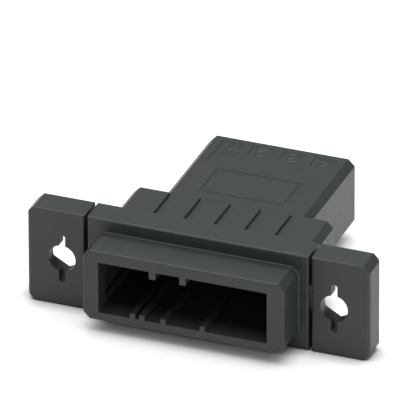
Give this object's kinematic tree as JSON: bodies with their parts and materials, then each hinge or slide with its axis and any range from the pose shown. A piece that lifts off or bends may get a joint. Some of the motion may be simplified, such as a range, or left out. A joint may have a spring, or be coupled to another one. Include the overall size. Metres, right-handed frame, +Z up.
{
  "type": "feed-through connector",
  "caption": "Panel feed-through connector: a screw-flanged plastic housing with an open plug shroud in front, a contact block behind and flat-tab crimp contacts inside.",
  "frame": {"origin": "middle of the flange's front face, halfway between the two screw holes", "axes": "+X along the flange, +Y back through the panel towards the wires, +Z up"},
  "size_m": [0.0414, 0.0318, 0.012],
  "materials": {
    "housing_plastic": "moulded, fine matt texture",
    "contact_metal": "tin plated, satin"
  },
  "bodies": {
    "root": {"housing": "housing_plastic", "contact_1": "contact_metal", "contact_2": "contact_metal", "contact_3": "contact_metal", "contact_4": "contact_metal"}
  },
  "joints": []
}
